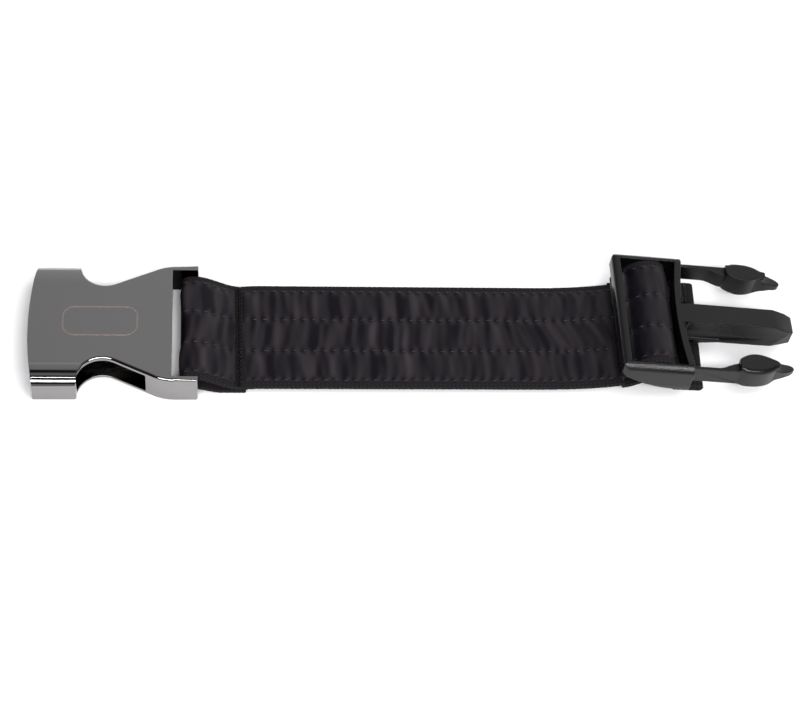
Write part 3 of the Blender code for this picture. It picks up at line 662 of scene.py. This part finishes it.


# Main run: flat on the table from the seam, it then climbs and leans a little towards the plug.
# The climbing pieces get meshes of their own; nothing here flattens them as the plug slides.
far_pivot = next(Vector(j["pos_m"]) for j in frame["joints"] if j["name"] == "far_arm_flex")
near_pivot = next(Vector(j["pos_m"]) for j in frame["joints"] if j["name"] == "near_arm_flex")
up = Vector(next(j["axis"] for j in frame["joints"] if j["name"] == "far_arm_flex")).normalized()
across = (far_pivot - near_pivot).normalized()
forward = across.cross(up).normalized()
across = up.cross(forward)
PLUG = Matrix.Identity(4)
for column, direction in enumerate((forward, across, up)):
    for row in range(3):
        PLUG[row][column] = direction[row]
origin = (far_pivot + near_pivot) / 2 - forward * 0.3 * MM
for row in range(3):
    PLUG[row][3] = origin[row]
SHOULDER_X = origin.x / MM
END_BAR_X = SHOULDER_X - 28.0
RISE_START_X = END_BAR_X - 22.0
RUN_END_X = END_BAR_X + 2.5
TAIL_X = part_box("strap_tail")[0].x / MM
SETTLED, LEAN = 0.45, 1.45     # how far the strap lies to the far side, past the seam and at the plug


def lean(x):
    return LINE_Y + SETTLED * ease(x, SEAM_X, SEAM_X + 8) + LEAN * ease(x, END_BAR_X - 30, END_BAR_X + 14)


def run_height(x):
    part = max(x - RISE_START_X, 0.0) / (RUN_END_X - RISE_START_X)
    return MAIN_CENTRE + 1.4 * part ** 3


run_path = [(SEAM_X + 1.3, MAIN_CENTRE), (RISE_START_X, MAIN_CENTRE)]
for step in range(1, 41):
    x = RISE_START_X + (RUN_END_X - RISE_START_X) * step / 40
    run_path.append((x, run_height(x)))
run_length = sum(math.dist(a, b) for a, b in zip(run_path, run_path[1:]))
level_length = RISE_START_X - SEAM_X - 1.3

run_web = make_webbing("run_webbing", 0.0, level_length)
run_satin = make_satin("run_satin", 1.0, level_length)
run_rows = make_stitches("run_stitches", row_spots(1.0, level_length - 1))
climb_web = make_webbing("climb_webbing", level_length, run_length)
climb_satin = make_satin("climb_satin", level_length, run_length)
climb_rows = make_stitches("climb_stitches", row_spots(level_length, run_length - 1))
for piece in (run_web, run_satin, run_rows, climb_web, climb_satin, climb_rows):
    lay(piece, run_path, lean)
dress(run_web, webbing, "strap", "black_webbing", "strap_run")
dress(run_satin, satin, "strap", "black_satin", "satin_face")
dress(run_rows, thread, "strap", "black_thread",
      "stitch_row_1", "stitch_row_2", "stitch_row_3", "stitch_row_4")
dress(climb_web, webbing, "strap", "black_webbing")
dress(climb_satin, satin, "strap", "black_satin")
dress(climb_rows, thread, "strap", "black_thread")
for piece in (climb_web, climb_satin, climb_rows):
    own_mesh(piece)


# Passage under the plug: the level stretch between the climb and the tail. It is seen once the plug
# has moved, and turns a little so that it meets the skewed tail.
PASSAGE_SHIFT = 3.0


def passage_side(x):
    return lean(x) + PASSAGE_SHIFT * ease(x, RUN_END_X - 1, RUN_END_X + 12)


TAIL_SKEW = math.radians(3.1)
under_path = [(RUN_END_X - 1, MAIN_CENTRE - 0.1), (TAIL_X - 0.3, MAIN_CENTRE - 0.1)]
under_length = TAIL_X - RUN_END_X + 0.7
under_web = make_webbing("passage_webbing", 0.0, under_length)
under_satin = make_satin("passage_satin", 0.3, under_length, 0.72, 0.3)
for piece in (under_web, under_satin):
    for vertex in piece.data.vertices:
        vertex.co.x += vertex.co.y * math.tan(TAIL_SKEW) * ease(vertex.co.x / MM, 3, under_length)
    lay(piece, under_path, passage_side)
dress(under_web, webbing, "strap", "black_webbing")
dress(under_satin, satin, "strap", "black_satin")


# Strap over the middle bar: it comes up steeply, turns over the bar and drops behind it to the tail.
# It rides with the plug, and its short thin foot lies on the end of the main run.
BAR_U, BAR_W = -12.8, -4.1


def plug_point(x, z):
    """A world side-view point in the plug's own side view."""
    place = PLUG.inverted() @ Vector((x * MM, origin.y, z * MM))
    return (place.x / MM, place.z / MM)


def smooth_path(points, steps):
    """A soft curve through the points."""
    ends = [points[0]] + list(points) + [points[-1]]
    path = []
    for index in range(1, len(ends) - 2):
        before, first, last, after = (Vector(ends[index + shift]) for shift in (-1, 0, 1, 2))
        for step in range(steps):
            t = step / steps
            path.append(tuple(0.5 * (2 * first + (last - before) * t
                                     + (2 * before - 5 * first + 4 * last - after) * t ** 2
                                     + (3 * first - before - 3 * last + after) * t ** 3)))
    return path + [tuple(points[-1])]


FOOT_LENGTH, PLUG_SKEW = 2.4, 0.0237     # the skew is the plug's turn on the table, as a slope
foot = [plug_point(RUN_END_X - FOOT_LENGTH + step, 4.7 + 0.06 * step) for step in (0, 1.2, 2.4)]
arch = [(-25.3, -13.0), (-24.1, -11.4), (-23.1, -9.2), (-22.1, -6.9), (-20.8, -4.7), (-19.1, -2.9),
        (-16.9, -1.5), (-14.2, -0.6), (-11.5, -0.5), (-9.2, -1.1), (-7.5, -2.5), (-6.7, -4.5),
        (-6.3, -6.6), (-6.0, -8.8), (-5.3, -10.8), (-3.8, -12.2), (-1.6, -12.6)]
hump_path = smooth_path(foot + arch, 6)
hump_length = sum(math.dist(a, b) for a, b in zip(hump_path, hump_path[1:]))


def hump_side(u):
    """The foot lies where the run lies, and the arch in the middle of the plug."""
    x = min(SHOULDER_X + u, END_BAR_X + 14)
    share = ease(u, -26, -19)
    return (lean(x) - origin.y / MM - PLUG_SKEW * u) * (1 - share)


hump_web = make_webbing("hump_webbing", 0.0, hump_length, 1.3)
for vertex in hump_web.data.vertices:
    inside = 1 - ease(vertex.co.x / MM, FOOT_LENGTH - 1, FOOT_LENGTH + 2)
    vertex.co.z *= 1 - 0.7 * inside
    vertex.co.y *= 1.015 - 0.045 * inside
# painted shade: the arch's steep climbing side gets no painted sheen, so it is coloured darker than its crown
hump_satin = make_satin("hump_satin", FOOT_LENGTH + 0.5, hump_length, 0.68, 0.3,
                        (FOOT_LENGTH + 10, FOOT_LENGTH + 19))
hump_rows = make_stitches("hump_stitches", row_spots(FOOT_LENGTH + 2, hump_length - 1, 0.68))
for piece in (hump_web, hump_satin, hump_rows):
    lay(piece, hump_path, hump_side)
    turned(piece, PLUG)
dress(hump_web, webbing, "plug", "black_webbing", "strap_hump")
dress(hump_satin, satin, "plug", "black_satin")
dress(hump_rows, thread, "plug", "black_thread")


# Tail: the strap's free end past the plug, folded under itself and sewn across.
TAIL_END_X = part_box("strap_tail")[1].x / MM
fold_radius, low_layer = 0.95, 0.8
fold_x = TAIL_END_X - fold_radius - 0.9
tail_path = [(TAIL_X + 1.0, low_layer), (fold_x, low_layer)]
tail_path += round_arc(fold_x, low_layer + fold_radius, fold_radius, -75, 90, 12)
tail_path += [(TAIL_X, low_layer + 2 * fold_radius)]
tail_length = sum(math.dist(a, b) for a, b in zip(tail_path, tail_path[1:]))
tail_web = make_webbing("tail_webbing", 0.0, tail_length, 1.5)
tail_spots = []
for column in (tail_length - 7.4, tail_length - 8.9):
    for step in range(13):
        tail_spots.append((column, -22.8 + step * 3.8, -0.95, math.radians(90)))
for row in ROWS:
    for step in range(2):
        tail_spots.append((tail_length - 2.6 - step * 3.8, row, -0.95, 0.0))
tail_rows = make_stitches("hem_stitches", tail_spots)

TAIL_SHIFT, TAIL_SPREAD = 2.6, 1.04
tail_turn = (Matrix.Translation((TAIL_END_X * MM, (LINE_Y + TAIL_SHIFT) * MM, 0))
             @ Matrix.Rotation(-TAIL_SKEW, 4, "Z") @ Matrix.Translation((-TAIL_END_X * MM, -LINE_Y * MM, 0)))
for piece in (tail_web, tail_rows):
    turned(piece, Matrix.Diagonal((1, TAIL_SPREAD, 1, 1)))
    lay(piece, tail_path, middle)
    turned(piece, tail_turn)
dress(tail_web, webbing, "strap", "black_webbing", "strap_tail")
dress(tail_rows, thread, "strap", "black_thread", "hem_seam")


# Plug frame: one black acetal moulding with a fine matte texture. Two rails, a strap bar at each end
# of the window, a round middle bar, and a centre tongue whose foot flares.
WINDOW_HALF, FRAME_HALF, FRAME_LENGTH = 25.65, 28.6, 28.0
RAIL_DEPTH, THIN_DEPTH = 12.9, 5.5     # at the shoulder, and at the strap's end
SHOULDER_BOW, END_BAR, SHOULDER_BAR = 2.0, 3.3, 2.7


def shoulder_curve(u):
    """The shoulder bar's edge, which bows into the window."""
    return [(u - SHOULDER_BOW * (1 - (part / 8) ** 2), WINDOW_HALF * part / 8) for part in range(-8, 9)]


def frame_outline():
    corner = 3.3
    points = [(0.0, -FRAME_HALF)] + shoulder_curve(0.0) + [(0.0, FRAME_HALF)]
    points += round_arc(corner - FRAME_LENGTH, FRAME_HALF - corner, corner, 90, 180, 10)
    return points + round_arc(corner - FRAME_LENGTH, corner - FRAME_HALF, corner, 180, 270, 10)


def frame_side():
    """Side view: thin at the strap's end and deep at the shoulder, with a rounded upper edge."""
    bottom = []
    for step in range(17):
        along = step / 16
        depth = THIN_DEPTH + (RAIL_DEPTH - THIN_DEPTH) * math.sin(along * math.pi / 2)
        bottom.append((-FRAME_LENGTH + FRAME_LENGTH * 0.85 * along, -depth))
    top = round_arc(1.9 - FRAME_LENGTH, -1.9, 1.9, 90, 178, 8)
    return bottom + [(1.0, -RAIL_DEPTH), (1.0, 0.0)] + top


def frame_section():
    """End view: the rails' upper outer edges are rolled over, the near one more broadly."""
    roll = 2.7
    low = [(FRAME_HALF - 0.8, -RAIL_DEPTH - 1), (FRAME_HALF, -RAIL_DEPTH + 3)]
    far = low + round_arc(FRAME_HALF - roll, -roll - 0.1, roll, 0, 84, 14) + [(WINDOW_HALF - 0.6, 0.0)]
    near = [(0.0, -3.0), (0.1, -2.5), (0.35, -2.05), (0.8, -1.52), (1.35, -1.0), (1.95, -0.54),
            (2.6, -0.16), (3.2, 0.0)]
    near = [(FRAME_HALF - inset, w) for inset, w in near]
    return far + [(-v, w) for v, w in reversed(low + near)]


plug_frame = cut_out("plug_frame", frame_outline(), -RAIL_DEPTH - 1, 1.0)
work_on(plug_frame, turned(cut_out("side", frame_side(), -40, 40), SIDE_VIEW), "INTERSECT")
work_on(plug_frame, turned(cut_out("end", frame_section(), -40, 20), END_VIEW), "INTERSECT")


def box_outline(low_u, high_u, half_v):
    return [(low_u, -half_v), (high_u, -half_v), (high_u, half_v), (low_u, half_v)]


window_end = END_BAR - FRAME_LENGTH
window = [(window_end, -WINDOW_HALF)] + shoulder_curve(-SHOULDER_BAR) + [(window_end, WINDOW_HALF)]
work_on(plug_frame, cut_out("window", window, -20, 5), "DIFFERENCE")
for low_u, high_u, under in ((-FRAME_LENGTH - 5, 4 - FRAME_LENGTH, -5.0), (-6.0, 5.0, -8.0)):
    room = cut_out("under", box_outline(low_u, high_u, WINDOW_HALF), -20, under)
    work_on(plug_frame, room, "DIFFERENCE")
TONGUE_TOP, TONGUE_FOOT, TONGUE_HEIGHT, TONGUE_LENGTH, TIP_LENGTH = 4.6, 6.2, 9.6, 42.6, 8.1
tongue_half = [(TONGUE_TOP, 0.0), (TONGUE_TOP + 0.15, -4.6), (TONGUE_TOP + 0.6, -6.6),
               (TONGUE_FOOT, -8.6), (TONGUE_FOOT, -TONGUE_HEIGHT)]
tongue_section = tongue_half + [(-v, w) for v, w in reversed(tongue_half)]
tongue = turned(cut_out("tongue", tongue_section, -3.3, TONGUE_LENGTH), END_VIEW)
tip_u = TONGUE_LENGTH - TIP_LENGTH
past_tip = TONGUE_LENGTH + 5
TIP_DROP = 3.0
tip_top = [(tip_u, 0.0), (past_tip, -TIP_DROP * 13.1 / 8.1), (past_tip, 5), (tip_u, 5)]
work_on(tongue, turned(cut_out("tip", tip_top, -9, 9), SIDE_VIEW), "DIFFERENCE")
for sign in (-1, 1):
    tip_side = [(tip_u, sign * 6.21), (past_tip, sign * 2.3), (past_tip, sign * 12), (tip_u, sign * 12)]
    work_on(tongue, cut_out("tip", tip_side, -15, 5), "DIFFERENCE")
root = round_arc(1.2, TONGUE_TOP + 2.9, 3.0, 180, 270, 8)
root = [(-3.0, TONGUE_TOP + 2.9)] + root
root += [(u, -v) for u, v in reversed(root)]
gusset = [(-3.3, -8.0), (14.0, -8.0), (14.0, -TONGUE_HEIGHT), (0.5, -11.5), (-3.3, -11.5)]
gusset = cut_out("gusset", gusset, -TONGUE_FOOT + 0.02, TONGUE_FOOT - 0.02)
work_on(tongue, turned(gusset, SIDE_VIEW), "UNION")
work_on(plug_frame, tongue, "UNION")
work_on(plug_frame, cut_out("root", root, -7.9, -0.12), "UNION")
soften(plug_frame, 0.32, 3)
turned(plug_frame, PLUG)
dress(plug_frame, acetal, "plug", "black_acetal", "buckle_frame")
bpy.ops.object.select_all(action="DESELECT")
BAR_RADIUS, BAR_REACH = 3.0, 1.5
bpy.ops.mesh.primitive_cylinder_add(vertices=40, radius=BAR_RADIUS * MM,
                                    depth=(WINDOW_HALF + BAR_REACH) * 2 * MM)
middle_bar = bpy.context.object
middle_bar.name = "middle_bar"
turned(middle_bar, PLUG @ Matrix.Translation((BAR_U * MM, 0, BAR_W * MM)) @ SIDE_VIEW)
soften(middle_bar, 0.2, 2, 50)
dress(middle_bar, acetal, "plug", "black_acetal")


# Latch arms: two spring arms of the same moulding. Each thickens into a rounded catch head with a thin
# guiding nose. The real arm bends at its root when the head is pressed in; these pieces are not tied to a
# body.
ARM_OUTER, ARM_THICK, HEAD_U = 25.4, 1.5, 18.4


def make_arm(name, sign, node, splay):
    """An arm and its head on one side, set outwards by its splay."""
    inner = ARM_OUTER - ARM_THICK

    def mirrored(points):
        return [(u, sign * (v + splay)) for u, v in points]

    arm_points = [(-0.8, ARM_OUTER), (HEAD_U + 2, ARM_OUTER), (HEAD_U + 2, inner - 3.4)]
    arm_points += [(HEAD_U - step, inner - 2.7 * (1 - ease(step, 0, 8))) for step in (0.5, 2, 3.5, 5, 6.5, 8)]
    arm_points += [(-0.8, inner)]
    arm = cut_out(name, mirrored(arm_points), -10.2, -2.8)
    head_points = [(0.0, -0.9), (0.9, 0.1), (3.0, 0.8), (6.0, 0.9), (9.0, 0.6), (12.0, -0.4), (14.4, -1.9),
                   (15.8, -3.3), (16.0, -4.4), (15.0, -5.5), (12.8, -6.5), (10.0, -7.6), (7.2, -8.1),
                   (5.0, -7.9), (3.0, -7.2), (1.2, -6.2), (0.0, -5.2)]
    head_points = smooth_path([(HEAD_U + u, ARM_OUTER + 0.3 + v) for u, v in head_points], 2)
    head = cut_out("head", mirrored(head_points), -10.0, -0.7)
    bpy.context.view_layer.objects.active = head
    bpy.ops.object.mode_set(mode="EDIT")
    bpy.ops.mesh.select_all(action="DESELECT")
    bpy.ops.object.mode_set(mode="OBJECT")
    for edge in head.data.edges:
        ends = [head.data.vertices[index].co for index in edge.vertices]
        edge.select = all(end.z > -0.8 * MM and sign * end.y > (22.8 + splay) * MM
                          and end.x > (HEAD_U + 0.2) * MM for end in ends)
    bpy.ops.object.mode_set(mode="EDIT")
    bpy.ops.mesh.select_mode(type="EDGE")
    bpy.ops.mesh.bevel(offset=1.9 * MM, segments=6, affect="EDGES")
    bpy.ops.object.mode_set(mode="OBJECT")
    work_on(arm, head, "UNION")
    nose_points = [(10.0, -1.7), (14.5, -2.3), (18.3, -3.1), (20.8, -4.0), (22.3, -5.0), (22.7, -5.8),
                   (22.2, -6.8), (20.8, -7.3), (16.0, -7.4), (10.0, -7.0)]
    nose_points = [(HEAD_U + u, ARM_OUTER + 0.9 + v) for u, v in nose_points]
    nose = cut_out("nose", mirrored(nose_points), -9.2, -1.8)
    for wedge in (((12.5, -1.8), (17.5, -3.9), (24, -5.0), (24, 1), (12.5, 1)),
                  ((12.5, -9.2), (19, -7.4), (24, -7.0), (24, -12), (12.5, -12))):
        wedge = cut_out("wedge", [(HEAD_U + u, w) for u, w in wedge], -40, 40)
        work_on(nose, turned(wedge, SIDE_VIEW), "DIFFERENCE")
    work_on(arm, nose, "UNION")
    soften(arm, 0.3, 3)
    turned(arm, PLUG)
    arm.data.materials.clear()
    arm.data.materials.append(acetal)
    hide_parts(node)
    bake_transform(arm)


make_arm("far_latch", 1, "latch_arm_far", 1.6)
make_arm("near_latch", -1, "latch_arm_near", 0.0)


# Table, lights and camera: a white table, a broad soft light, a long strip light on the near side, and a
# long lens. The surroundings are dark and light bands, which the plating reflects.
bpy.ops.object.select_all(action="DESELECT")
bpy.ops.mesh.primitive_plane_add(size=6.0)
table = bpy.context.object
table.name = "table"
table_material, _, table_shader = new_material("white_table", (0.93, 0.93, 0.94), 0.9)
table_shader.inputs["Specular IOR Level"].default_value = 0.1
table.data.materials.append(table_material)

scene = bpy.context.scene
scene.view_settings.view_transform = "Standard"
world = bpy.data.worlds.new("studio")
scene.world = world
world.use_nodes = True
sky = world.node_tree
facing = sky.nodes.new("ShaderNodeTexCoord")
apart = sky.nodes.new("ShaderNodeSeparateXYZ")
turn_back = sky.nodes.new("ShaderNodeMath")
turn_back.operation = "MULTIPLY"
turn_back.inputs[1].default_value = -1.0
angle = sky.nodes.new("ShaderNodeMath")
angle.operation = "ARCTAN2"
share = sky.nodes.new("ShaderNodeMapRange")
share.inputs["From Min"].default_value = -math.pi / 2
share.inputs["From Max"].default_value = math.pi / 2
bands = sky.nodes.new("ShaderNodeValToRGB")
sky.links.new(facing.outputs["Generated"], apart.inputs[0])
sky.links.new(apart.outputs["Y"], turn_back.inputs[0])
sky.links.new(turn_back.outputs[0], angle.inputs[0])
sky.links.new(apart.outputs["Z"], angle.inputs[1])
sky.links.new(angle.outputs[0], share.inputs["Value"])
sky.links.new(share.outputs["Result"], bands.inputs["Fac"])
sky.links.new(bands.outputs["Color"], sky.nodes["Background"].inputs["Color"])
# from the far horizon (0) over the top (0.5) to the near horizon (1)
BANDS = ((0.0, 0.7), (0.2, 0.62), (0.33, 0.53), (0.35, 0.75), (0.37, 0.53), (0.45, 0.46), (0.465, 0.02),
         (0.5, 0.02), (0.515, 0.36), (0.56, 0.3), (0.575, 0.02), (0.86, 0.02), (0.88, 0.4), (1.0, 0.4))
while len(bands.color_ramp.elements) < len(BANDS):
    bands.color_ramp.elements.new(0.5)
for element, (place, level) in zip(bands.color_ramp.elements, BANDS):
    element.position = place
    element.color = (level, level, level * 1.01, 1)
sideways = sky.nodes.new("ShaderNodeMapRange")
sideways.inputs["From Min"].default_value = -0.8
sideways.inputs["From Max"].default_value = 0.8
sideways.inputs["To Min"].default_value = 0.3
sideways.inputs["To Max"].default_value = 1.7
sky.links.new(apart.outputs["X"], sideways.inputs["Value"])
sky.links.new(sideways.outputs["Result"], sky.nodes["Background"].inputs["Strength"])

key = bpy.data.lights.new("key", "AREA")
key.shape = "RECTANGLE"
key.size = 1.2
key.size_y = 0.9
key.energy = 11.0
key_holder = bpy.data.objects.new("key", key)
scene.collection.objects.link(key_holder)
KEY_PLACE = Vector((0.5, -0.15, 1.3))
key_holder.location = KEY_PLACE
key_holder.rotation_euler = KEY_PLACE.to_track_quat("Z", "Y").to_euler()
key_holder.visible_glossy = False

strip = bpy.data.lights.new("strip", "AREA")
strip.shape = "RECTANGLE"
strip.size = 1.5
strip.size_y = 0.2
strip.energy = 20.0
strip_holder = bpy.data.objects.new("strip", strip)
scene.collection.objects.link(strip_holder)
strip_holder.location = (0.0, -0.853, 0.981)
strip_holder.rotation_euler = (math.radians(41), 0, 0)

AZIMUTH, ELEVATION, ROLL = math.radians(8.51), math.radians(52.0), math.radians(6.98)
level = math.cos(ELEVATION)
looking = Vector((math.sin(AZIMUTH) * level, math.cos(AZIMUTH) * level, -math.sin(ELEVATION)))
level_right = Vector((math.cos(AZIMUTH), -math.sin(AZIMUTH), 0))
level_up = level_right.cross(looking)
right = math.cos(ROLL) * level_right + math.sin(ROLL) * level_up
top = -math.sin(ROLL) * level_right + math.cos(ROLL) * level_up
lens = bpy.data.cameras.new("camera")
lens.lens = 94.3
camera = bpy.data.objects.new("camera", lens)
scene.collection.objects.link(camera)
stand = Matrix((right, top, -looking)).transposed().to_4x4()
stand.translation = Vector((-5.88, -7.72, 0.0)) * MM - looking * 811.4 * MM
camera.matrix_world = stand
scene.camera = camera
